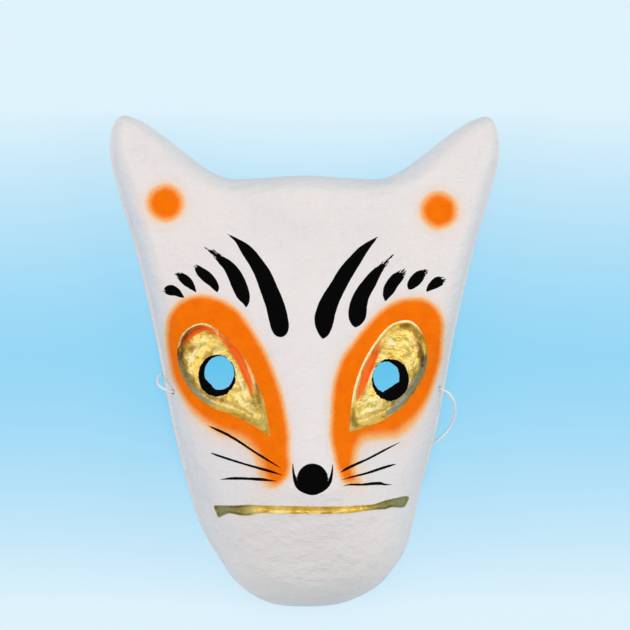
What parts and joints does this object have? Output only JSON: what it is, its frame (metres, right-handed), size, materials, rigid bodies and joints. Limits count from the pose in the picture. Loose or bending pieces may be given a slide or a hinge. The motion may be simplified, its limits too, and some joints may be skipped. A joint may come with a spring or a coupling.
{
  "type": "kitsune mask",
  "caption": "Moulded paper fox mask with upright ears, a long muzzle, sunken almond eyes with see-through pupils and a string to tie it on.",
  "frame": {"origin": "middle of the mask's box on the plane that its rim lies on", "axes": "+Z out of the face, +Y from the chin to the ears, +X across the face to the viewer's right"},
  "size_m": [0.1716, 0.215, 0.0721],
  "materials": {
    "painted_paper": "satin",
    "white_string": "matte"
  },
  "bodies": {
    "root": {"mask": "painted_paper", "string": "white_string"}
  },
  "joints": []
}
